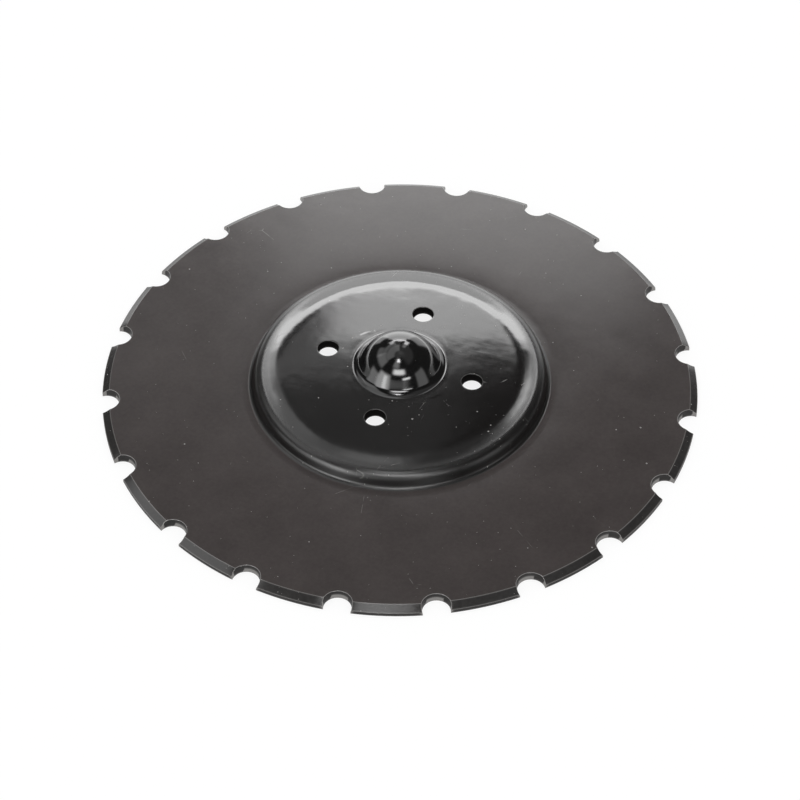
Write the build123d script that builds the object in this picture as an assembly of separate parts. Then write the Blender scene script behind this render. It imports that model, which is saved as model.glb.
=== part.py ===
from build123d import *
import math
import os

# Disc blade for a disc coulter, all in millimetres. It is one steel plate. A press has raised its
# middle into a round boss with a flat top, where the wheel hub bolts on from below, and a dome in
# the middle of the boss clears the end of the hub's axle. The rim is ground to a cutting edge and
# has round notches, so that the blade bites into straw and clods and is turned by the soil.
# +Z is the disc's axis, pointing out of the dome. The origin is the centre of the plate's lower
# face, on which the blade lies, and the bolt holes lie on the X and Y axes.

# Plate and cutting edge
disc_diameter = 410.0
plate_thickness = 6.0
bevel_width = 5.2
edge_land = 2.7

# Boss, measured on the faces that can be seen from above
boss_rise = 13.0
boss_foot_radius = 104.5
boss_wall_angle = 75.0
inner_bend_radius = 3.0
crown_radius = 100.0
crown_angle = 8.0

# Dome in the middle of the boss: a cap of a ball, with a tight bend round its base
dome_rise = 22.5
dome_radius = 28.0
dome_base_radius = 5.5

# Holes for the hub's bolts
bolt_circle_diameter = 104.0
bolt_count = 4
bolt_hole_diameter = 13.5
bolt_hole_lip = 1.6

# Notches in the rim, punched one after another. A punch draws the face that it enters down into a
# lip round its hole, as wide as it is deep
notch_count = 20
notch_diameter = 18.4
notch_depth = 11.4
notch_lip = 2.2
first_notch_angle = 241.3
index_shortfall = 0.08

os.makedirs("parts", exist_ok=True)

disc_radius = disc_diameter / 2
boss_top = boss_rise + plate_thickness
outer_bend_radius = inner_bend_radius + plate_thickness


def cosine(angle):
    return math.cos(math.radians(angle))


def sine(angle):
    return math.sin(math.radians(angle))


def bends():
    """The pressed bends from the dome outwards, as centre, radius on the upper face, the angles
    at which the bend starts and ends, and whether its centre lies under the plate."""
    dome_centre_z = boss_top + dome_rise - dome_radius
    base_z = boss_top + dome_base_radius
    base_angle = math.degrees(math.asin((base_z - dome_centre_z) / (dome_radius + dome_base_radius)))
    base_x = (dome_radius + dome_base_radius) * cosine(base_angle)

    crown_drop = crown_radius * (1 - cosine(crown_angle))
    shoulder_drop = outer_bend_radius * (cosine(crown_angle) - cosine(boss_wall_angle))
    foot_drop = inner_bend_radius * (1 - cosine(boss_wall_angle))
    wall_drop = boss_rise - crown_drop - shoulder_drop - foot_drop
    wall_run = wall_drop / math.tan(math.radians(boss_wall_angle))
    foot_run = inner_bend_radius * sine(boss_wall_angle)
    shoulder_run = outer_bend_radius * sine(boss_wall_angle)

    shoulder_x = boss_foot_radius - foot_run - wall_run - shoulder_run
    shoulder_z = boss_top - crown_drop - outer_bend_radius * cosine(crown_angle)
    crown_x = shoulder_x - (crown_radius - outer_bend_radius) * sine(crown_angle)
    foot_z = plate_thickness + inner_bend_radius
    return [
        ((0, dome_centre_z), dome_radius, 90, base_angle, True),
        ((base_x, base_z), dome_base_radius, 180 + base_angle, 270, False),
        ((crown_x, boss_top - crown_radius), crown_radius, 90, 90 - crown_angle, True),
        ((shoulder_x, shoulder_z), outer_bend_radius, 90 - crown_angle, 90 - boss_wall_angle, True),
        ((boss_foot_radius, foot_z), inner_bend_radius, 270 - boss_wall_angle, 270, False),
    ]


def face_line(depth):
    """The line of the pressed plate at a depth under its upper face: the bends keep their
    centres, and the flat stretches join one bend to the next."""
    pieces = []
    end = None
    for centre, radius, start_angle, end_angle, convex in bends():
        bend_radius = radius - depth if convex else radius + depth
        bend = CenterArc(centre, bend_radius, start_angle, end_angle - start_angle)
        start = bend @ 0
        if end is not None and (start - end).length > 0.001:
            pieces.append(Line(end, start))
        pieces.append(bend)
        end = bend @ 1
    return pieces, end


def blade_blank():
    """The pressed and ground disc without its holes: its section, turned about the axis."""
    upper, upper_end = face_line(0)
    lower, lower_end = face_line(plate_thickness)
    rim = Polyline(
        (upper_end.X, upper_end.Y),
        (disc_radius - bevel_width, plate_thickness),
        (disc_radius, edge_land),
        (disc_radius, 0),
        (lower_end.X, lower_end.Y),
    )
    axis_line = Line(lower[0] @ 0, upper[0] @ 0)
    section = make_face([*upper, *rim.edges(), *lower, axis_line])
    return revolve(Plane.XZ * section, Axis.Z)


def bolt_axes():
    """Where the bolt holes' axes stand, evenly spread from the X axis."""
    return [spot.position for spot in PolarLocations(bolt_circle_diameter / 2, bolt_count)]


def notch_axes():
    """Where the notches' axes stand. The indexing falls a little short of an even pitch at each
    stroke, so the tooth between the last notch and the first comes out wider than the others."""
    centre_radius = disc_radius - notch_depth + notch_diameter / 2
    pitch = 360 / notch_count - index_shortfall
    return [
        Vector(centre_radius, 0, 0).rotate(Axis.Z, first_notch_angle + pitch * stroke)
        for stroke in range(notch_count)
    ]


def punch(body, axes, diameter, lip, lowest_lip):
    """Cut round holes on the given axes and slope their lips above lowest_lip, where the punch
    went in. A lip's edges keep the punch's radius from its axis."""
    cutter = Cylinder(diameter / 2, boss_top * 3)
    body = body - [Pos(axis) * cutter for axis in axes]
    lips = []
    for edge in body.edges():
        middle = edge @ 0.5
        beside = [abs(math.hypot(middle.X - axis.X, middle.Y - axis.Y) - diameter / 2) for axis in axes]
        along_the_wall = abs((edge % 0.5).Z) > 0.99
        if min(beside) < 0.01 and middle.Z > lowest_lip and not along_the_wall:
            lips.append(edge)
    return chamfer(lips, lip)


def disc_blade():
    body = blade_blank()
    middle_of_boss_plate = boss_rise + plate_thickness / 2
    body = punch(body, bolt_axes(), bolt_hole_diameter, bolt_hole_lip, middle_of_boss_plate)
    return punch(body, notch_axes(), notch_diameter, notch_lip, edge_land)


blade = disc_blade()
blade.label = "disc_blade"
export_step(blade, "parts/disc_blade.step")
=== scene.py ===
# %% [markdown]
# # A notched disc blade in gloss black enamel
# The object is one pressed steel plate: a flat ring with a bevelled, notched rim, a raised boss in
# its middle and a dome on the boss. The CAD frame gives its true size and place. This file builds a
# finer skin over it, finishes that skin in enamel, and sets up the studio that the enamel mirrors.

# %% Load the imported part
import math

import bmesh
import bpy
import numpy as np
from mathutils import Matrix, Vector


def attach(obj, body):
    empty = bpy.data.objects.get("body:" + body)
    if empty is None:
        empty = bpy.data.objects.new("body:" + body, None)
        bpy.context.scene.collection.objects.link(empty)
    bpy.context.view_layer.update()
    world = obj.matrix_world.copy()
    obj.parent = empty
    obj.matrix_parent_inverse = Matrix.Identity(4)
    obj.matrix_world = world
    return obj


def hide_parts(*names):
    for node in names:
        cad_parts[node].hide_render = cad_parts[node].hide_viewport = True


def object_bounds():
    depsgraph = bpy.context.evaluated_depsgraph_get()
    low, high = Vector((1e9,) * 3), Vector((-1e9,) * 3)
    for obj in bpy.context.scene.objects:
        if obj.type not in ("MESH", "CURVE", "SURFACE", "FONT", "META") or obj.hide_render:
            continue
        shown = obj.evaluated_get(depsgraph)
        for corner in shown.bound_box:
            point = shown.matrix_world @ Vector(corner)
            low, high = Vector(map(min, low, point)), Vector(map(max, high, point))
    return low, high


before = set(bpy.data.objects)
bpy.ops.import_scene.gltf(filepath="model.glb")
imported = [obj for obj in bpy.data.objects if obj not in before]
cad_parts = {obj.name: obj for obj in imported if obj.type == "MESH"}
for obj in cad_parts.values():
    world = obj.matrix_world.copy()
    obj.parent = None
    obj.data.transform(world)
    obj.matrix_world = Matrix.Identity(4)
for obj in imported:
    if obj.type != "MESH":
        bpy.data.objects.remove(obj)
cad_low, cad_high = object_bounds()
print("CAD box in metres:", tuple(cad_low), tuple(cad_high))

# %% [markdown]
# The blade's sizes are written here once, in millimetres because a pressing is drawn in them, and
# are turned into metres when a mesh is made. The outer radius and the top come from the frame, so
# the skin can't grow past the part that it stands for.

# %% Sizes of the blade
MM = 0.001
disc_radius = (cad_high.x - cad_low.x) / 2 / MM
dome_top = cad_high.z / MM

plate_thickness = 6.0
bevel_width = 5.2
edge_land = 2.7
crease_radius = disc_radius - bevel_width

boss_rise = 13.0
boss_top = boss_rise + plate_thickness
boss_foot_radius = 104.5
wall_angle = 75.0
inner_bend = 3.0
outer_bend = inner_bend + plate_thickness
crown_radius = 100.0
crown_angle = 8.0

dome_radius = 28.0
dome_slope = 60.0
dome_base_radius = 7.0

bolt_count = 4
bolt_circle_radius = 52.0
bolt_hole_radius = 6.75
bolt_hole_lip = 0.6

notch_count = 20
notch_radius = 9.2
notch_depth = 11.4
notch_lip = 0.5
notch_mouth_shift = 0.3
notch_axis_radius = disc_radius - notch_depth + notch_radius
first_notch_angle = 241.3
index_shortfall = 0.08
print(f"disc radius {disc_radius:.2f} mm, dome top {dome_top:.2f} mm")

# %% [markdown]
# A press leaves the steel a little out of true: the boss's top is crowned by about a millimetre, and
# the ring dips by a third of one where the boss was drawn up out of it. Nobody would measure that by
# eye, but gloss enamel shows it, because a slope of one degree turns a reflection by two. So the
# section is drawn true first, from bends that each touch their neighbours, and the two departures
# are a formula of the radius that is added when the surfaces are made.

# %% The section of the pressing
crown_lift = 0.4
crown_inner_radius = 34.0
crown_fade_start = 90.0
crown_fade_end = 101.0
dome_blend_radius = 15.0
dip_depth = 0.35
dip_reach = 14.0
dip_inner_radius = 99.0


def smooth_step(x, low, high):
    """0 below low, 1 above high, and 3t^2 - 2t^3 in between, where t is how far x has gone."""
    t = np.clip((x - low) / (high - low), 0, 1)
    return t * t * (3 - 2 * t)


def bend(centre, radius, start, end, steps):
    """Points on an arc: centre + radius (cos a, sin a), with a going evenly from start to end."""
    angle = np.radians(np.linspace(start, end, steps + 1))
    return np.stack([centre[0] + radius * np.cos(angle), centre[1] + radius * np.sin(angle)], 1)


def run(start, end, steps):
    """Points on a straight line: start + t (end - start), with t going evenly from 0 to 1."""
    t = np.linspace(0, 1, steps + 1)[:, None]
    return np.asarray(start) * (1 - t) + np.asarray(end) * t


def chain(*stretches):
    """One line from stretches that meet end to end, without the doubled points."""
    return np.concatenate([stretches[0]] + [s[1:] for s in stretches[1:]])


def bend_centres():
    """The five pressed bends from the axis outwards, as centre, upper radius, start angle, end
    angle, convex. Each is tangent to its neighbours, which fixes the centres one after another."""
    sine, cosine = np.sin(np.radians(wall_angle)), np.cos(np.radians(wall_angle))
    sine_crown, cosine_crown = np.sin(np.radians(crown_angle)), np.cos(np.radians(crown_angle))
    dome_z = dome_top - dome_radius
    sine_dome, cosine_dome = np.sin(np.radians(dome_slope)), np.cos(np.radians(dome_slope))
    cone_drop = dome_z + dome_radius * cosine_dome - boss_top - dome_base_radius * (1 - cosine_dome)
    cone_run = cone_drop * cosine_dome / sine_dome
    base_x = (dome_radius + dome_base_radius) * sine_dome + cone_run
    crown_drop = crown_radius * (1 - cosine_crown)
    wall_drop = boss_rise - crown_drop - outer_bend * (cosine_crown - cosine) - inner_bend * (1 - cosine)
    wall_run = wall_drop * cosine / sine
    shoulder_x = boss_foot_radius - inner_bend * sine - wall_run - outer_bend * sine
    shoulder_z = boss_top - crown_drop - outer_bend * cosine_crown
    crown_x = shoulder_x - (crown_radius - outer_bend) * sine_crown
    return [
        ((0, dome_z), dome_radius, 90, 90 - dome_slope, True),
        ((base_x, boss_top + dome_base_radius), dome_base_radius, 270 - dome_slope, 270, False),
        ((crown_x, boss_top - crown_radius), crown_radius, 90, 90 - crown_angle, True),
        ((shoulder_x, shoulder_z), outer_bend, 90 - crown_angle, 90 - wall_angle, True),
        ((boss_foot_radius, plate_thickness + inner_bend), inner_bend, 270 - wall_angle, 270, False),
    ]


def out_of_true(r):
    """How far the upper face departs from the drawn one at radius r: crown_lift (1 - (r / R)^2) on
    the boss's top, with R the bolt circle's radius, faded out down the shoulder and in the dome, and
    minus dip_depth e^(-x / dip_reach) on the ring, x outside the boss's foot."""
    crown = crown_lift * (1 - (np.maximum(r, crown_inner_radius) / bolt_circle_radius) ** 2)
    crown = crown * smooth_step(r, dome_blend_radius, crown_inner_radius)
    crown = crown * (1 - smooth_step(r, crown_fade_start, crown_fade_end))
    dip = -dip_depth * np.exp(-np.maximum(r - boss_foot_radius, 0) / dip_reach)
    return crown + dip * smooth_step(r, dip_inner_radius, boss_foot_radius)


bends = bend_centres()
steps_in_bend = (24, 12, 4, 14, 10)
section = {True: [], False: []}
for (centre, radius, start, end, convex), steps in zip(bends, steps_in_bend):
    section[True].append(bend(centre, radius, start, end, steps))
    change = -plate_thickness if convex else plate_thickness
    section[False].append(bend(centre, radius + change, start, end, steps // 2))
print("upper bends end at radii", [round(float(s[-1, 0]), 1) for s in section[True]])

# %% [markdown]
# The skin is built in four rings from the axis outwards. Two are plain surfaces of revolution. The
# other two aren't: the one with the bolt holes and the one with the notches. There the face is lofted
# from the hole's edge to the ring's, so that its rows of faces follow the hole and it stays round.
# All rings share one list of bearings, so their edges meet point for point and the seams close.

# %% The bearings that all rings share
steps_on_tooth = 4
steps_round_notch = 16
steps_on_bevel = 4
steps_in_sector = 2 * steps_on_tooth + steps_round_notch

pitch = 360 / notch_count - index_shortfall
notch_angles = first_notch_angle + pitch * np.arange(notch_count)
closing_tooth = notch_angles[0] + 360 - notch_angles[-1]
tooth_middles = np.concatenate([
    [notch_angles[0] - closing_tooth / 2],
    (notch_angles[:-1] + notch_angles[1:]) / 2,
    [notch_angles[-1] + closing_tooth / 2],
])
bearings = np.concatenate([
    np.linspace(a, b, steps_in_sector + 1)[:-1] for a, b in zip(tooth_middles[:-1], tooth_middles[1:])
])
bearings = np.append(bearings, bearings[0] + 360)
print(len(bearings) - 1, "columns round the disc")

# %% [markdown]
# Every surface below is a grid of points, so one small class collects the grids and joins them. It
# keeps the points as arrays, and the faces are worked out from the grid's shape: point (i, j) joins
# (i + 1, j), (i + 1, j + 1) and (i, j + 1).

# %% A collector of grids
merge_distance = 1e-6
shortest_edge = 1e-7


class Skin:
    """Grids of points in millimetres that become one closed mesh in metres."""

    def __init__(self):
        self.points = []
        self.faces = []
        self.count = 0

    def add(self, grid, flip=False):
        """Adds a grid of shape (rows, columns, 3). Faces point along (row step) x (column step),
        and the other way with flip."""
        rows, columns = grid.shape[:2]
        corner = (np.arange(rows - 1)[:, None] * columns + np.arange(columns - 1)).ravel()
        quads = np.stack([corner, corner + columns, corner + columns + 1, corner + 1], 1)
        if flip:
            quads = quads[:, ::-1]
        self.faces.append(quads + self.count)
        self.points.append(grid.reshape(-1, 3))
        self.count += rows * columns

    def to_object(self, name, sharp_angle):
        """Merges the points that grids share, drops faces that shrank to a line, and shades smooth
        except where faces meet at more than sharp_angle."""
        mesh = bpy.data.meshes.new(name)
        points = np.concatenate(self.points) * MM
        mesh.from_pydata(points, [], np.concatenate(self.faces).tolist())
        shape = bmesh.new()
        shape.from_mesh(mesh)
        bmesh.ops.remove_doubles(shape, verts=shape.verts, dist=merge_distance)
        bmesh.ops.dissolve_degenerate(shape, edges=shape.edges, dist=shortest_edge)
        bmesh.ops.recalc_face_normals(shape, faces=shape.faces)
        open_edges = sum(1 for edge in shape.edges if len(edge.link_faces) != 2)
        shape.to_mesh(mesh)
        shape.free()
        mesh.shade_smooth()
        mesh.set_sharp_from_angle(angle=math.radians(sharp_angle))
        mesh.update()
        piece = bpy.data.objects.new(name, mesh)
        bpy.context.scene.collection.objects.link(piece)
        mesh.calc_loop_triangles()
        print(f"{name}: {len(mesh.loop_triangles)} triangles, {open_edges} open edges")
        return piece


def mark_corners(piece, corner_angle):
    """Writes the point attribute "corner": 1 on the ends of each edge whose two faces meet at more
    than corner_angle, 0 elsewhere. The loops are sorted by edge, so each edge's two stand together,
    and the cosine of the angle is the dot product of their faces' normals."""
    mesh = piece.data
    edge_of_loop = np.empty(len(mesh.loops), np.int32)
    mesh.loops.foreach_get("edge_index", edge_of_loop)
    sizes = np.empty(len(mesh.polygons), np.int32)
    mesh.polygons.foreach_get("loop_total", sizes)
    normals = np.empty(len(mesh.polygons) * 3, np.float32)
    mesh.polygons.foreach_get("normal", normals)
    pairs = np.argsort(edge_of_loop, kind="stable").reshape(-1, 2)
    faces = normals.reshape(-1, 3)[np.repeat(np.arange(len(sizes)), sizes)]
    cosine = (faces[pairs[:, 0]] * faces[pairs[:, 1]]).sum(1)
    ends = np.empty(len(mesh.edges) * 2, np.int32)
    mesh.edges.foreach_get("vertices", ends)
    sharp = ends.reshape(-1, 2)[cosine < math.cos(math.radians(corner_angle))]
    corner = np.zeros(len(mesh.vertices), np.float32)
    corner[np.unique(sharp)] = 1
    # the enamel paints a highlight line on the points where this is 1
    mesh.attributes.new("corner", "FLOAT", "POINT").data.foreach_set("value", corner)
    print(f"{int(corner.sum())} points on corners sharper than {corner_angle} degrees")


def turned(line, angles):
    """A surface of revolution: point (r, z) of the line goes to (r cos a, r sin a, z)."""
    a = np.radians(angles)[None, :]
    r, z = line[:, :1], line[:, 1:]
    return np.stack([r * np.cos(a), r * np.sin(a), z + 0 * a], 2)


def loft(inner, outer, shares):
    """Rows between two edges with as many points each: inner + share (outer - inner)."""
    s = np.asarray(shares)[:, None, None]
    return inner[None] * (1 - s) + outer[None] * s


def circle(radius, angles):
    """Points in the plane at one radius over bearings in degrees: (r cos a, r sin a)."""
    a = np.radians(angles)
    return np.stack([radius * np.cos(a), radius * np.sin(a)], 1)


def lifted(xy, height):
    """Points in the plane lifted to a height, which may be one number or one for each."""
    return np.concatenate([xy, np.broadcast_to(height, xy.shape[:-1])[..., None]], -1)


# %% [markdown]
# The middle of the upper face runs from the dome's pole to the ring that holds the bolt holes. The
# outer part runs from that ring over the crown, round the shoulder, down the wall and out along the
# flat ring. The lower face is the same plate seen from below, and a press can't change its
# thickness much, so its bends keep the same centres.

# %% Surfaces of revolution
bolt_ring_inner = 38.0
bolt_ring_outer = 66.0
rim_ring_inner = 183.0
steps_on_cone = 3
steps_on_wall = 2
steps_in_bolt_ring = 2
steps_to_crown = 4
steps_on_ring = {True: 14, False: 3}


def face_lines(upper):
    """The middle and outer lines of one face, from the axis to the bolt ring and on to the rim's."""
    dome, base, crown, shoulder, foot = section[upper]
    top_height = boss_top if upper else boss_rise
    ring_height = plate_thickness if upper else 0.0
    cone = run(dome[-1], base[0], steps_on_cone)
    to_bolts = run(base[-1], (bolt_ring_inner, top_height), steps_in_bolt_ring)
    from_bolts = run((bolt_ring_outer, top_height), crown[0], steps_to_crown)
    wall = run(shoulder[-1], foot[0], steps_on_wall)
    to_rim = run(foot[-1], (rim_ring_inner, ring_height), steps_on_ring[upper])
    return chain(dome, cone, base, to_bolts), chain(from_bolts, crown, shoulder, wall, foot, to_rim)


def settled(points):
    """The same points with the upper face's small departures added to their heights."""
    points = points.copy()
    points[..., -1] += out_of_true(np.hypot(points[..., 0], points[..., 1]))
    return points


skin = Skin()
for upper in (True, False):
    for line in face_lines(upper):
        surface = turned(line, bearings)
        skin.add(settled(surface) if upper else surface, flip=upper)
print(skin.count, "points on the surfaces of revolution")

# %% [markdown]
# Each bolt hole sits in a quarter of its ring. The quarter's outline and the hole's edge get as many
# points each, and rows are lofted between them. The punch draws the face that it enters down into a
# sloped lip, so the hole is wider at its upper mouth. The corner there is nearly sharp, and the coat
# rounds it into a bead under half a millimetre across. A very narrow row of faces runs round the
# outside of the bead, because smooth shading bends the light over the whole width of the first row,
# and a wide one would show as a dent round the hole.

# %% The ring with the bolt holes
bead = 0.4
bead_steps = 4
lip_depth_share = 0.5
steps_on_side = 8
steps_to_outline = 5
row_growth = 1.3
guard_share = 0.012


def mouth_profile(hole_radius, lip_width, depth):
    """Reach from the hole's axis and drop under the face, from the face inwards: a bead that turns
    from level to the lip's slope, the lip, and the start of the straight wall."""
    lip_depth = depth * lip_depth_share
    slope = math.atan2(lip_depth, lip_width)
    turn = np.linspace(0, slope, bead_steps + 1)
    reach = hole_radius + lip_width - bead * (np.sin(turn) - math.tan(slope / 2))
    drop = bead * (1 - np.cos(turn))
    return np.append(reach, hole_radius), np.append(drop, lip_depth)


def mouth_rows(centre, profile, directions, face_height):
    """One row of points for each step of a hole's mouth, following the face's height."""
    rows = []
    for reach, drop in zip(*profile):
        xy = centre + reach * directions
        rows.append(lifted(xy, face_height(xy) - drop))
    return np.stack(rows)


def boss_face(xy):
    """The height of the boss's flat top, with its small crown, at points in the plane."""
    return boss_top + out_of_true(np.hypot(xy[..., 0], xy[..., 1]))


bolt_mouth = mouth_profile(bolt_hole_radius, bolt_hole_lip, plate_thickness)
side_shares = np.linspace(0, 1, steps_on_side + 1)[1:-1, None]
loft_shares = np.append([0, guard_share], np.linspace(0, 1, steps_to_outline + 1)[1:] ** row_growth)
bolt_pitch = 360 / bolt_count
turns_to = [np.abs((bearings[:-1] - bolt_pitch * (k + 0.5)) % 360) for k in range(bolt_count)]
starts = [int(np.argmin(turn)) for turn in turns_to]
for k in range(bolt_count):
    first, last = starts[k], starts[(k + 1) % bolt_count]
    columns = np.arange(first, last + 1 if last > first else last + len(bearings)) % (len(bearings) - 1)
    near = circle(bolt_ring_inner, bearings[columns])
    far = circle(bolt_ring_outer, bearings[columns])
    sides = [near[e] * (1 - side_shares) + far[e] * side_shares for e in (0, -1)]
    outline = np.concatenate([near, sides[1], far[::-1], sides[0][::-1], near[:1]])
    bearing = math.radians(bolt_pitch * (k + 1))
    centre = bolt_circle_radius * np.array([math.cos(bearing), math.sin(bearing)])
    # half by the outline's own directions and half evenly, so that no two columns run together
    turn = np.unwrap(np.arctan2(*(outline - centre).T[::-1]))
    turn = (turn + np.linspace(turn[0], turn[-1], len(turn))) / 2
    direction = np.stack([np.cos(turn), np.sin(turn)], 1)

    lip = mouth_rows(centre, bolt_mouth, direction, boss_face)
    flat = loft(lip[0, :, :2], outline, loft_shares)
    lower_mouth = lifted(centre + bolt_hole_radius * direction, boss_rise)
    skin.add(lifted(flat, boss_face(flat)))
    skin.add(lip, flip=True)
    skin.add(loft(lip[-1], lower_mouth, (0, 1)), flip=True)
    skin.add(lifted(loft(lower_mouth[:, :2], outline, loft_shares), boss_rise), flip=True)
print(bolt_count, "bolt holes,", len(outline), "columns round each")

# %% [markdown]
# The rim is twenty sectors, one for each notch, cut at the middles of the teeth. A notch is a hole
# whose axis lies 2.2 mm inside the rim, so its wall is a little more than half a circle. Its lip
# crosses the crease where the bevel starts. To keep that crease crisp, one column of the lip's grid
# is made to follow it, and the columns on each side share out the rest. Here too a narrow row of
# faces runs along the notch's edge and the crease, so that they shade as sharp as they are.

# %% The faces of the rim
bevel_slope = (plate_thickness - edge_land) / bevel_width
rows_on_rim = 8
rim_guard_share = 0.99


def rim_face(xy):
    """The height of the upper face near the rim: flat up to the crease, then falling evenly."""
    r = np.hypot(xy[..., 0], xy[..., 1])
    return plate_thickness + out_of_true(r) - bevel_slope * np.maximum(r - crease_radius, 0)


def turn_to_radius(middle, reach, radius):
    """The angle at a point at radius middle, from the inward direction, at which a circle of that
    reach round the point meets a circle round the disc's axis, by the law of cosines."""
    cosine = (middle**2 + reach**2 - radius**2) / (2 * middle * reach)
    return math.degrees(math.acos(cosine))


def notch_turns(middle, reach):
    """The columns of a notch's grids: even over the flat face, and even again over each bevel."""
    crease = turn_to_radius(middle, reach, crease_radius)
    rim = turn_to_radius(middle, reach, disc_radius)
    bevel = np.linspace(crease, rim, steps_on_bevel + 1)
    flat = np.linspace(-crease, crease, steps_round_notch + 1)
    return np.concatenate([-bevel[::-1][:-1], flat, bevel[1:]])


def notch_points(axis_angle, reach, shift):
    """Points in the plane at one reach from a notch's axis, one for each column. The shift moves
    the axis inwards, because the lip is widest on that side."""
    middle = notch_axis_radius - shift
    turn = axis_angle + math.pi + np.radians(notch_turns(middle, reach))
    axis = middle * np.array([math.cos(axis_angle), math.sin(axis_angle)])
    return axis + reach * np.stack([np.cos(turn), np.sin(turn)], 1)


def bearing_of(xy, near):
    """The bearing of points in the plane in degrees, within half a turn of a given one."""
    angle = np.degrees(np.arctan2(xy[..., 1], xy[..., 0]))
    return near + (angle - near + 180) % 360 - 180


notch_mouth = mouth_profile(notch_radius, notch_lip, plate_thickness)
rim_shares = np.append(np.linspace(0, 1, rows_on_rim + 1)[:-1], [rim_guard_share, 1])


def notch_wall(axis_bearing):
    """The grids of one notch: its mouth, row by row of the profile, and the wall under it, which
    goes straight down. Over the bevel the mouth is as much shallower as the plate is thinner."""
    rows = []
    lip_depth = notch_mouth[1][-1]
    for reach, drop in zip(*notch_mouth):
        shift = notch_mouth_shift * (1 - drop / lip_depth)
        xy = notch_points(math.radians(axis_bearing), reach, shift)
        height = rim_face(xy)
        rows.append(lifted(xy, height - drop * height / plate_thickness))
    lip = np.stack(rows)
    return lip, loft(lip[-1], lifted(lip[-1][:, :2], 0.0), (0, 1))


def fan(tooth, stops, radii):
    """Rows along a tooth from its middle: at each radius, bearings going evenly to that stop."""
    rows = [circle(r, np.linspace(tooth, stop, steps_on_tooth + 1)) for stop, r in zip(stops, radii)]
    return np.stack(rows)


def sector_faces(start, axis_bearing, end, edge, face_height):
    """The grids of one face in a sector, given the notch's edge and the face's height as a function
    of the place: the flat face as far as the crease and the notch, and the strip over each bevel."""
    inner = circle(rim_ring_inner, np.linspace(start, end, steps_in_sector + 1))
    # the notch's columns run against the bearings, so they are turned round here
    flat_edge = edge[steps_on_bevel:-steps_on_bevel, :2]
    if bearing_of(flat_edge[0], axis_bearing) > axis_bearing:
        flat_edge = flat_edge[::-1]
    left = np.linspace(start, bearing_of(flat_edge[0], axis_bearing), steps_on_tooth + 1)
    right = np.linspace(bearing_of(flat_edge[-1], axis_bearing), end, steps_on_tooth + 1)
    crease_left, crease_right = circle(crease_radius, left), circle(crease_radius, right)
    outline = np.concatenate([crease_left, flat_edge[1:-1], crease_right])
    grids = [loft(inner, outline, rim_shares)]
    for side in (edge, edge[::-1]):
        side = side[: steps_on_bevel + 1, :2][::-1]
        stops = bearing_of(side, axis_bearing)
        tooth = start if stops[0] < axis_bearing else end
        grids.append(fan(tooth, stops, np.hypot(side[:, 0], side[:, 1])))
    return [lifted(grid, face_height(grid)) for grid in grids]


def sector_lands(start, axis_bearing, end, column):
    """The blunt land on each side of a notch, from the column of points at the notch's end."""
    grids = []
    for edge in (column[:, 0], column[:, -1]):
        stops = bearing_of(edge[:, :2], axis_bearing)
        tooth = start if stops[0] < axis_bearing else end
        grids.append(lifted(fan(tooth, stops, [disc_radius] * len(stops)), edge[:, 2:]))
    return grids


# %% The twenty sectors of the rim
skin_crease_angle = 24.0
# corners sharper than this get the enamel's painted highlight line
highlight_corner_angle = 14.0
for start, axis_bearing, end in zip(tooth_middles[:-1], notch_angles, tooth_middles[1:]):
    lip, wall = notch_wall(axis_bearing)
    grids = [lip, wall]
    grids += sector_faces(start, axis_bearing, end, lip[0], rim_face)
    grids += sector_faces(start, axis_bearing, end, wall[-1], lambda xy: 0.0)
    grids += sector_lands(start, axis_bearing, end, np.concatenate([lip, wall[1:]]))
    for grid in grids:
        skin.add(grid)
blade = skin.to_object("blade_skin", sharp_angle=skin_crease_angle)
mark_corners(blade, corner_angle=highlight_corner_angle)

# %% [markdown]
# The camera is the one that the photo's rim, notches and bolt holes agree on: it looks down at 46
# degrees from 1.7 m with a long lens. The photo's frame is the part's turned by photo_bearing about
# +Z, so that its X axis points right in the picture and its Y axis points away.

# %% Camera
photo_bearing = 20.634
camera_elevation = 45.984
camera_roll = 1.873
camera_yaw = 1.208
camera_distance = 1.7219
aim_height = 0.0013
lens_length = 112.07
lens_shift = (0.0003, -0.0217)
nearest_seen = 0.05


def photo_axes():
    """The camera's right, up and back axes: elevation first, then yaw about up, then roll about
    back, then the turn from the photo's frame to the part's about +Z."""
    tilt, yaw, roll = (math.radians(v) for v in (camera_elevation, camera_yaw, camera_roll))
    right = Vector((1, 0, 0))
    up = Vector((0, math.sin(tilt), math.cos(tilt)))
    back = Vector((0, -math.cos(tilt), math.sin(tilt)))
    right, back = (
        right * math.cos(yaw) + back * math.sin(yaw),
        back * math.cos(yaw) - right * math.sin(yaw),
    )
    right, up = (
        right * math.cos(roll) - up * math.sin(roll),
        right * math.sin(roll) + up * math.cos(roll),
    )
    turn = Matrix.Rotation(math.radians(photo_bearing), 3, "Z")
    return turn @ right, turn @ up, turn @ back


right, up, back = photo_axes()
lens = bpy.data.cameras.new("photo_camera")
lens.lens = lens_length
lens.shift_x, lens.shift_y = lens_shift
lens.clip_start = nearest_seen
camera = bpy.data.objects.new("photo_camera", lens)
spot = Matrix.Translation(Vector((0, 0, aim_height)) + back * camera_distance)
camera.matrix_world = spot @ Matrix((right, up, back)).transposed().to_4x4()
bpy.context.scene.collection.objects.link(camera)
bpy.context.scene.camera = camera
bpy.context.scene.view_settings.view_transform = "Standard"
print("camera", round(camera_distance, 3), "m away, lens", lens_length, "mm")

# %% [markdown]
# Node trees are built with a few small helpers. The first adds a node and fills its inputs: a value
# goes on the socket and a socket gets a link. The next ones shorten the nodes that come most often,
# and the last starts a node group with its sockets.

# %% Node helpers


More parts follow.
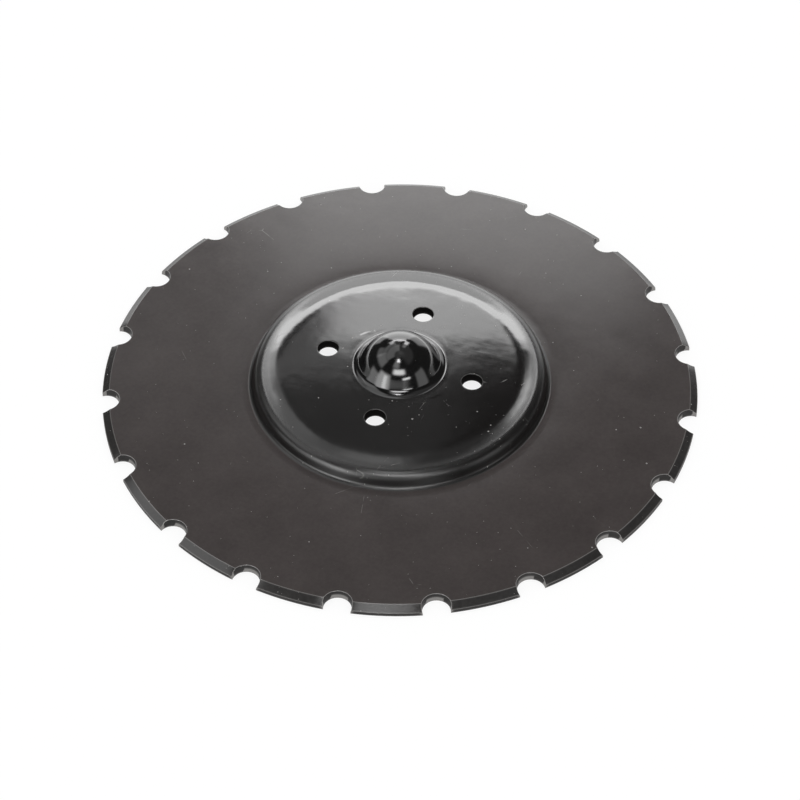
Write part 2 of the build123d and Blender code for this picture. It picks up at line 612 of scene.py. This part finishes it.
def add(tree, kind, inputs=None, **settings):
    """A node of one kind. Inputs are given by name or number, as a value or another's output."""
    node = tree.nodes.new(kind)
    for key, value in settings.items():
        setattr(node, key, value)
    for key, value in (inputs or {}).items():
        if isinstance(value, bpy.types.NodeSocket):
            tree.links.new(value, node.inputs[key])
        else:
            node.inputs[key].default_value = value
    return node


def math_node(tree, operation, *values, clamp=False):
    """The output of a Math node over the given values."""
    inputs = dict(enumerate(values))
    return add(tree, "ShaderNodeMath", inputs, operation=operation, use_clamp=clamp).outputs[0]


def ramp_up(tree, value, low, high):
    """0 below low and 1 above high with a soft change between, of a value."""
    node = add(tree, "ShaderNodeMapRange", {"Value": value, "From Min": low, "From Max": high},
               interpolation_type="SMOOTHSTEP")
    return node.outputs["Result"]


def noise(tree, place, scale, detail, roughness=0.5):
    """The value of a Noise texture at a place in metres, with scale waves to the metre."""
    values = {"Vector": place, "Scale": scale, "Detail": detail, "Roughness": roughness}
    return add(tree, "ShaderNodeTexNoise", values).outputs["Fac"]


def blend(tree, share, first, second):
    """The first colour at share 0 and the second at 1."""
    return add(tree, "ShaderNodeMix", {0: share, 6: first, 7: second}, data_type="RGBA").outputs[2]


def length_of(tree, vector):
    """The length of a vector."""
    return add(tree, "ShaderNodeVectorMath", {0: vector}, operation="LENGTH").outputs["Value"]


def group(name, inputs, outputs):
    """A shader node group with the given sockets; returns the tree and its two end nodes."""
    tree = bpy.data.node_groups.new(name, "ShaderNodeTree")
    for socket, kind, value in inputs:
        made = tree.interface.new_socket(socket, in_out="INPUT", socket_type=kind)
        if value is not None:
            made.default_value = value
    for socket, kind in outputs:
        tree.interface.new_socket(socket, in_out="OUTPUT", socket_type=kind)
    return tree, tree.nodes.new("NodeGroupInput"), tree.nodes.new("NodeGroupOutput")


# %% [markdown]
# Gloss black shows little else than what stands round it, so the studio is drawn in the world as
# soft panels, each given by its bearing and height in the sky, its half sizes in degrees and how
# bright it is. A panel's light in a direction is its strength times two soft edges, one across and
# one up. Bearings are measured in the photo's frame, where 90 lies behind the object.

# %% A panel in the sky


def panel_group():
    """Bearing and height of the view direction to one soft-edged panel of the studio."""
    tree, start, end = group(
        "studio_panel",
        [
            ("Bearing", "NodeSocketFloat", 0.0),
            ("Height", "NodeSocketFloat", 0.0),
            ("Middle", "NodeSocketFloat", 90.0),
            ("Level", "NodeSocketFloat", 40.0),
            ("Half Width", "NodeSocketFloat", 10.0),
            ("Half Height", "NodeSocketFloat", 10.0),
            ("Side Softness", "NodeSocketFloat", 3.0),
            ("Top Softness", "NodeSocketFloat", 3.0),
            ("Strength", "NodeSocketFloat", 1.0),
        ],
        [("Light", "NodeSocketFloat")],
    )
    away = math_node(tree, "SUBTRACT", start.outputs["Bearing"], start.outputs["Middle"])
    away = math_node(tree, "WRAP", away, 180.0, -180.0)
    across = math_node(tree, "SUBTRACT", start.outputs["Half Width"], math_node(tree, "ABSOLUTE", away))
    rise = math_node(tree, "SUBTRACT", start.outputs["Height"], start.outputs["Level"])
    upward = math_node(tree, "SUBTRACT", start.outputs["Half Height"], math_node(tree, "ABSOLUTE", rise))
    light = start.outputs["Strength"]
    for inside, softness_name in ((across, "Side Softness"), (upward, "Top Softness")):
        softness = start.outputs[softness_name]
        outside = math_node(tree, "MULTIPLY", softness, -1.0)
        light = math_node(tree, "MULTIPLY", light, ramp_up(tree, inside, outside, softness))
    tree.links.new(light, end.inputs["Light"])
    return tree


studio_panel = panel_group()
print("the panel group has", len(studio_panel.nodes), "nodes")

# %% [markdown]
# Each row is a panel, with its values in the order of panel_values. The first four are the softbox
# behind the object and the sweep under it, which the boss's top and the far half of the ring mirror.
# The gaps between the panels matter as much as the panels do, since they are what makes parts of the
# enamel go black.

# %% The studio
panel_values = (
    "Middle", "Level", "Half Width", "Half Height", "Side Softness", "Top Softness", "Strength",
)
panels = [
    # the softbox behind the object, from its dim top edge down to the sweep under it
    (86.3, 42.4, 5.8, 1.9, 1.6, 0.6, 5.7),
    (87.2, 38.5, 15.4, 2.4, 1.2, 0.5, 10.4),
    (88.5, 32.4, 15.5, 3.6, 2.0, 1.2, 4.4),
    (88.0, 13.0, 19.0, 16.0, 3.0, 2.0, 3.4),
    # low on both sides of the sweep
    (58.0, 9.0, 12.0, 17.0, 4.0, 3.0, 1.9),
    (114.0, 8.0, 9.0, 8.0, 3.0, 3.0, 1.8),
    # strips on both sides of the softbox
    (66.5, 45.5, 5.5, 6.0, 1.5, 2.0, 8.0),
    (110.5, 43.5, 5.5, 5.0, 1.5, 2.0, 5.2),
    (104.5, 41.5, 3.0, 3.0, 1.5, 1.5, 4.5),
    (66.0, 55.0, 7.0, 9.0, 2.0, 2.0, 2.0),
    # the dim ceiling over it
    (95.0, 44.7, 10.5, 1.3, 1.0, 0.5, 0.9),
    (97.0, 54.0, 12.0, 9.0, 2.0, 2.0, 0.24),
    (30.0, 72.0, 80.0, 18.0, 15.0, 4.0, 0.3),
    # the wall on the left and the ceiling
    (130.0, 50.5, 30.0, 5.0, 2.0, 2.0, 1.2),
    (150.0, 37.0, 14.0, 8.0, 4.0, 4.0, 1.2),
    (180.0, 44.0, 22.0, 12.0, 5.0, 5.0, 1.8),
    (143.0, 67.0, 55.0, 10.0, 4.0, 3.0, 1.5),
    (150.0, 86.0, 150.0, 8.0, 60.0, 6.0, 0.45),
    (192.0, 6.0, 14.0, 9.0, 5.0, 5.0, 2.2),
    # windows and lamps in front
    (222.0, 12.0, 17.0, 15.0, 6.0, 5.0, 5.0),
    (226.0, 10.0, 5.0, 12.0, 3.0, 4.0, 5.0),
    (262.0, 8.0, 26.0, 8.0, 8.0, 4.0, 1.3),
    (330.0, 12.0, 14.0, 12.0, 4.0, 4.0, 1.4),
    (252.0, 64.0, 14.0, 13.0, 8.0, 6.0, 2.6),
    (261.0, 72.5, 12.0, 4.5, 3.0, 2.0, 17.0),
    (266.0, 40.0, 20.0, 7.0, 8.0, 4.0, 12.0),
    (288.0, 20.0, 11.0, 2.5, 4.0, 1.5, 14.0),
]
dark_room = 0.06
even_light = 0.85


def build_world():
    """White for the camera, an even light for soft bounces, and the studio for gloss."""
    world = bpy.data.worlds.new("studio")
    world.use_nodes = True
    tree = world.node_tree
    tree.nodes.clear()
    place = add(tree, "ShaderNodeTexCoord").outputs["Generated"]
    xyz = add(tree, "ShaderNodeSeparateXYZ", {0: place})
    bearing = math_node(tree, "ARCTAN2", xyz.outputs["Y"], xyz.outputs["X"])
    bearing = math_node(tree, "SUBTRACT", math_node(tree, "DEGREES", bearing), photo_bearing)
    height = math_node(tree, "DEGREES", math_node(tree, "ARCSINE", xyz.outputs["Z"]))
    total = dark_room
    for row in panels:
        values = {"Bearing": bearing, "Height": height, **dict(zip(panel_values, row))}
        panel = add(tree, "ShaderNodeGroup", values, node_tree=studio_panel)
        total = math_node(tree, "ADD", total, panel.outputs["Light"])
    path = add(tree, "ShaderNodeLightPath")
    gloss = add(tree, "ShaderNodeMix", {0: path.outputs["Is Glossy Ray"], 2: even_light, 3: total})
    seen = add(tree, "ShaderNodeMix", {0: path.outputs["Is Camera Ray"], 2: gloss.outputs[0], 3: 1.0})
    shine = add(tree, "ShaderNodeBackground", {"Color": (1, 1, 1, 1), "Strength": seen.outputs[0]})
    add(tree, "ShaderNodeOutputWorld", {"Surface": shine.outputs[0]})
    bpy.context.scene.world = world


build_world()
print(len(panels), "panels in the studio")

# %% [markdown]
# The floor is a plain pale sweep. To the camera it is nearly white by itself, and the rest of its
# tone comes from the light that falls on it, so the blade's shadow still shows. The enamel mirrors
# it as a painted pool of light that is brightest behind the blade, and a painted shadow under it.

# %% Floor
floor_grey = (0.18, 0.18, 0.18, 1)
floor_half_size = 6
near_glow = 0.6
far_glow_added = 2.2
far_glow_distance = 0.5
# the painted shadow under the blade fades the glow out between these radii
painted_shadow_inner, painted_shadow_outer = 0.16, 0.26


def pool_of_light(tree):
    """A painted pool of light that the enamel mirrors in the floor: brightest behind the blade, under
    the softbox, dim elsewhere round it, and a painted shadow that fades it to nothing inside its rim.
    Both changes are soft ramps over the floor's own coordinates."""
    place = add(tree, "ShaderNodeTexCoord").outputs["Object"]
    bearing = math.radians(90 + photo_bearing)
    backward = (math.cos(bearing), math.sin(bearing), 0)
    behind = add(tree, "ShaderNodeVectorMath", {0: place, 1: backward}, operation="DOT_PRODUCT")
    behind = ramp_up(tree, behind.outputs["Value"], 0.0, far_glow_distance)
    glow = math_node(tree, "MULTIPLY_ADD", behind, far_glow_added, near_glow)
    # painted shadow: the glow dies away under the blade
    under_blade_shadow = ramp_up(tree, length_of(tree, place), painted_shadow_inner, painted_shadow_outer)
    return math_node(tree, "MULTIPLY", glow, under_blade_shadow)


def floor_material():
    """A pale floor that the camera sees as white, with a trace of the shadow that falls on it."""
    material = bpy.data.materials.new("studio_floor")
    material.use_nodes = True
    tree = material.node_tree
    tree.nodes.clear()
    path = add(tree, "ShaderNodeLightPath")
    matt = add(tree, "ShaderNodeBsdfDiffuse", {"Color": floor_grey})
    glossy = path.outputs["Is Glossy Ray"]
    glow = add(tree, "ShaderNodeMix", {0: glossy, 2: even_light, 3: pool_of_light(tree)})
    shine = add(tree, "ShaderNodeEmission", {"Color": (1, 1, 1, 1), "Strength": glow.outputs[0]})
    both = add(tree, "ShaderNodeAddShader", {0: matt.outputs[0], 1: shine.outputs[0]})
    add(tree, "ShaderNodeOutputMaterial", {"Surface": both.outputs[0]})
    return material


floor_mesh = bpy.data.meshes.new("floor")
unit_corners = ((-1, -1), (1, -1), (1, 1), (-1, 1))
floor_corners = [(floor_half_size * x, floor_half_size * y, 0) for x, y in unit_corners]
floor_mesh.from_pydata(floor_corners, [], [(0, 1, 2, 3)])
floor = bpy.data.objects.new("floor", floor_mesh)
bpy.context.scene.collection.objects.link(floor)
floor_mesh.materials.append(floor_material())
print("floor", 2 * floor_half_size, "m square")

# %% [markdown]
# The coat is one black enamel, but it doesn't look the same all over. The flat ring has been
# handled and stacked, so it has a thin grey haze of dust and rub marks and mirrors less. The boss
# was out of reach and kept its gloss, the dome on it is the cleanest, and the ground edge is rough
# under a thin coat. Four materials share one node group for what they have in common: slow waves in
# the coat, the ripples of the rolled sheet, a fine orange peel, cloudy haze, specks, short scratches
# and a painted highlight, a light line along the corners in place of the glint that they mirror.

# %% What the enamels share
dust_colour = (0.3, 0.29, 0.28, 1)
# the light grey of the painted highlight along the corners
painted_highlight_colour = (0.62, 0.6, 0.58, 1)
cloud_strength = 0.5
mottle_strength = 0.3
speck_scales = (330.0, 760.0)
smallest_speck = 0.05
speck_size_spread = 0.16
drift_edges = (0.56, 0.72)
clean_share = 0.7
drift_share_added = 5.0
scratch_cell_scale = 38.0
scratch_width = 0.0045
scratch_paleness = 0.35
scuff_edges = (0.62, 0.68)
mark_roughness = 0.6
corner_fall_off = 5.0
ripple_stretch = (0.18, 1.0, 1.0)


def enamel_group():
    """Colour, roughness and normal of hazy enamel over Object coordinates in metres."""
    tree, start, end = group(
        "enamel_coat",
        [
            ("Black", "NodeSocketColor", (0.01, 0.01, 0.01, 1)),
            ("Haze", "NodeSocketColor", (0.05, 0.05, 0.05, 1)),
            ("Haze Amount", "NodeSocketFloat", 0.5),
            ("Gloss Roughness", "NodeSocketFloat", 0.08),
            ("Haze Roughness", "NodeSocketFloat", 0.06),
            ("Wave Height", "NodeSocketFloat", 0.00001),
            ("Peel Height", "NodeSocketFloat", 0.000001),
            ("Speck Share", "NodeSocketFloat", 0.02),
            ("Ripple Height", "NodeSocketFloat", 0.000002),
            # how strong the painted highlight along the corners is
            ("Corner Highlight", "NodeSocketFloat", 0.5),
        ],
        [("Color", "NodeSocketColor"), ("Roughness", "NodeSocketFloat"), ("Normal", "NodeSocketVector")],
    )
    place = add(tree, "ShaderNodeTexCoord").outputs["Object"]

    # haze is cloudy, with a fine mottle in it, round the amount that the material asks for
    cloud = noise(tree, place, scale=28.0, detail=6.0, roughness=0.6)
    mottle = noise(tree, place, scale=420.0, detail=3.0, roughness=0.6)
    haze = math_node(tree, "MULTIPLY_ADD", cloud, cloud_strength, -cloud_strength / 2)
    haze = math_node(tree, "SUBTRACT", haze, mottle_strength / 2)
    haze = math_node(tree, "MULTIPLY_ADD", mottle, mottle_strength, haze)
    haze = math_node(tree, "ADD", haze, start.outputs["Haze Amount"], clamp=True)
    colour = blend(tree, haze, start.outputs["Black"], start.outputs["Haze"])

    # specks and dirt lie in drifts, so a slow noise makes them many times as likely in places
    drift = noise(tree, place, scale=17.0, detail=4.0, roughness=0.7)
    drift = ramp_up(tree, drift, *drift_edges)
    likely = math_node(tree, "MULTIPLY_ADD", drift, drift_share_added, clean_share)
    likely = math_node(tree, "MULTIPLY", likely, start.outputs["Speck Share"])
    speck = 0.0
    for scale in speck_scales:
        spots = add(tree, "ShaderNodeTexVoronoi", {"Vector": place, "Scale": scale, "Randomness": 1.0})
        chosen = add(tree, "ShaderNodeSeparateColor", {0: spots.outputs["Color"]})
        picked = math_node(tree, "LESS_THAN", chosen.outputs[0], likely)
        size = math_node(tree, "MULTIPLY_ADD", chosen.outputs[1], speck_size_spread, smallest_speck)
        inside = math_node(tree, "LESS_THAN", spots.outputs["Distance"], size)
        speck = math_node(tree, "MAXIMUM", speck, math_node(tree, "MULTIPLY", picked, inside))

    # a scratch is a stretch of a thin line between the cells of a coarse pattern
    cells = {"Vector": place, "Scale": scratch_cell_scale}
    cells = add(tree, "ShaderNodeTexVoronoi", cells, feature="DISTANCE_TO_EDGE")
    line = math_node(tree, "LESS_THAN", cells.outputs["Distance"], scratch_width)
    scuff = noise(tree, place, scale=31.0, detail=3.0, roughness=0.7)
    scratch = math_node(tree, "MULTIPLY", line, ramp_up(tree, scuff, *scuff_edges))
    mark = math_node(tree, "MAXIMUM", speck, math_node(tree, "MULTIPLY", scratch, scratch_paleness))
    colour = blend(tree, mark, colour, dust_colour)

    # a painted highlight: a light line along each corner, in place of the glint that the edge mirrors
    corner = add(tree, "ShaderNodeAttribute", attribute_name="corner").outputs["Fac"]
    painted_highlight = math_node(tree, "POWER", corner, corner_fall_off)
    painted_highlight = math_node(tree, "MULTIPLY", painted_highlight, start.outputs["Corner Highlight"])
    tree.links.new(blend(tree, painted_highlight, colour, painted_highlight_colour), end.inputs["Color"])

    gloss_roughness, haze_roughness = start.outputs["Gloss Roughness"], start.outputs["Haze Roughness"]
    rough = math_node(tree, "MULTIPLY_ADD", haze, haze_roughness, gloss_roughness)
    rough = math_node(tree, "MAXIMUM", rough, math_node(tree, "MULTIPLY", mark, mark_roughness))
    tree.links.new(rough, end.inputs["Roughness"])

    # the steel was rolled one way, which leaves faint ripples drawn out along the part's X axis
    pattern_turn = (0, 0, -math.radians(photo_bearing))
    along = {"Vector": place, "Rotation": pattern_turn, "Scale": ripple_stretch}
    along = add(tree, "ShaderNodeMapping", along).outputs[0]
    wave = noise(tree, place, scale=45.0, detail=2.0)
    ripple = noise(tree, along, scale=420.0, detail=3.0)
    peel = noise(tree, place, scale=500.0, detail=2.0)
    height = math_node(tree, "MULTIPLY", wave, start.outputs["Wave Height"])
    height = math_node(tree, "MULTIPLY_ADD", ripple, start.outputs["Ripple Height"], height)
    height = math_node(tree, "MULTIPLY_ADD", peel, start.outputs["Peel Height"], height)
    bump = add(tree, "ShaderNodeBump", {"Strength": 1.0, "Distance": 1.0, "Height": height})
    tree.links.new(bump.outputs[0], end.inputs["Normal"])
    return tree


enamel_coat = enamel_group()
print("the enamel group has", len(enamel_coat.nodes), "nodes")

# %% [markdown]
# Each finish is a material of its own round the shared group: how strongly it mirrors, and the
# group's values for its haze, roughness and marks. The boss's wall is less smooth than its top,
# because the press drew the sheet over a ring there, so that finish turns satin down the shoulder.

# %% Four finishes of the enamel
satin_start, satin_end = 88.0, 98.0
satin_roughness = 0.24
enamel_ior = 1.5


def satin_flank(tree, roughness):
    """The roughness raised to a satin one down the shoulder, by a soft ramp over the distance from
    the disc's axis."""
    place = add(tree, "ShaderNodeTexCoord").outputs["Object"]
    flat = add(tree, "ShaderNodeVectorMath", {0: place, 1: (1, 1, 0)}, operation="MULTIPLY")
    share = ramp_up(tree, length_of(tree, flat.outputs[0]), satin_start * MM, satin_end * MM)
    return math_node(tree, "MULTIPLY_ADD", share, satin_roughness, roughness)


def enamel_material(name, gloss_level, coat_values, satin=False):
    """Gloss black enamel with the shared group's colour, roughness and normal."""
    material = bpy.data.materials.new(name)
    material.use_nodes = True
    tree = material.node_tree
    tree.nodes.clear()
    coat = add(tree, "ShaderNodeGroup", coat_values, node_tree=enamel_coat)
    roughness = coat.outputs["Roughness"]
    surface = add(tree, "ShaderNodeBsdfPrincipled", {
        "Base Color": coat.outputs["Color"],
        "Roughness": satin_flank(tree, roughness) if satin else roughness,
        "Normal": coat.outputs["Normal"],
        "IOR": enamel_ior,
        "Specular IOR Level": gloss_level,
    })
    add(tree, "ShaderNodeOutputMaterial", {"Surface": surface.outputs[0]})
    return material


# each finish's corner value is the strength of its painted highlight along the corners; the dome keeps
# the group's default
dome_enamel = enamel_material("dome_enamel", 0.6, {
    "Black": (0.004, 0.004, 0.004, 1),
    "Haze": (0.02, 0.0187, 0.018, 1),
    "Haze Amount": 0.1,
    "Gloss Roughness": 0.1,
    "Haze Roughness": 0.06,
    "Wave Height": 0.00003,
    "Peel Height": 0.0000008,
    "Speck Share": 0.006,
    "Ripple Height": 0.000001,
})
boss_enamel = enamel_material("boss_enamel", 0.5, {
    "Black": (0.0062, 0.0056, 0.0054, 1),
    "Haze": (0.02, 0.0187, 0.018, 1),
    "Haze Amount": 0.1,
    "Gloss Roughness": 0.06,
    "Haze Roughness": 0.1,
    "Wave Height": 0.00009,
    "Peel Height": 0.0000015,
    "Speck Share": 0.03,
    "Ripple Height": 0.000004,
    "Corner Highlight": 0.12,
}, satin=True)
edge_enamel = enamel_material("edge_enamel", 0.5, {
    "Black": (0.014, 0.0132, 0.013, 1),
    "Haze": (0.085, 0.08, 0.078, 1),
    "Haze Amount": 0.22,
    "Gloss Roughness": 0.12,
    "Haze Roughness": 0.3,
    "Wave Height": 0.00008,
    "Peel Height": 0.000008,
    "Speck Share": 0.06,
    "Ripple Height": 0.000006,
    "Corner Highlight": 0.4,
})
ring_enamel = enamel_material("ring_enamel", 0.2, {
    "Black": (0.03, 0.026, 0.0253, 1),
    "Haze": (0.095, 0.0815, 0.079, 1),
    "Haze Amount": 0.42,
    "Gloss Roughness": 0.08,
    "Haze Roughness": 0.1,
    "Wave Height": 0.00005,
    "Peel Height": 0.0000012,
    "Speck Share": 0.02,
    "Ripple Height": 0.000004,
    "Corner Highlight": 0.3,
})
print("finishes:", [m.name for m in (dome_enamel, boss_enamel, edge_enamel, ring_enamel)])

# %% [markdown]
# One skin carries all four finishes, so each face gets the index of its own. The dome, the boss and
# the ring are told apart by how far a face lies from the axis, and the edge by its slope.

# %% Which face gets which enamel
foot_margin = 0.5
level_tolerance = 8
enamels = (boss_enamel, ring_enamel, edge_enamel, dome_enamel)
BOSS, RING, EDGE, DOME = range(4)


def paint(piece):
    """Gives each face its enamel: the dome's, the boss's as far as the foot of its wall, the ring's
    on the level faces outside it, and the edge's on the bevel, the land and the notches' walls."""
    mesh = piece.data
    for enamel in enamels:
        mesh.materials.append(enamel)
    centres = np.empty(len(mesh.polygons) * 3, np.float32)
    mesh.polygons.foreach_get("center", centres)
    normals = np.empty(len(mesh.polygons) * 3, np.float32)
    mesh.polygons.foreach_get("normal", normals)
    reach = np.hypot(*centres.reshape(-1, 3)[:, :2].T) / MM
    level_face = np.abs(normals[2::3]) > math.cos(math.radians(level_tolerance))
    base_bend_centre = bends[1][0]
    index = np.where(reach < boss_foot_radius - foot_margin, BOSS, np.where(level_face, RING, EDGE))
    index = np.where(reach < base_bend_centre[0], DOME, index)
    mesh.polygons.foreach_set("material_index", index.astype(np.int32))
    print("faces in the boss's, ring's, edge's and dome's enamel:", np.bincount(index).tolist())


paint(blade)

# %% [markdown]
# Last come the frame's own calls: the skin rides the part's one body and stands in for its one node,
# and the floor is only a stage.

# %% Hand over to the frame
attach(blade, "root")
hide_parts("disc_blade")

print("CAD box:", [round(v, 4) for v in (*cad_low, *cad_high)])
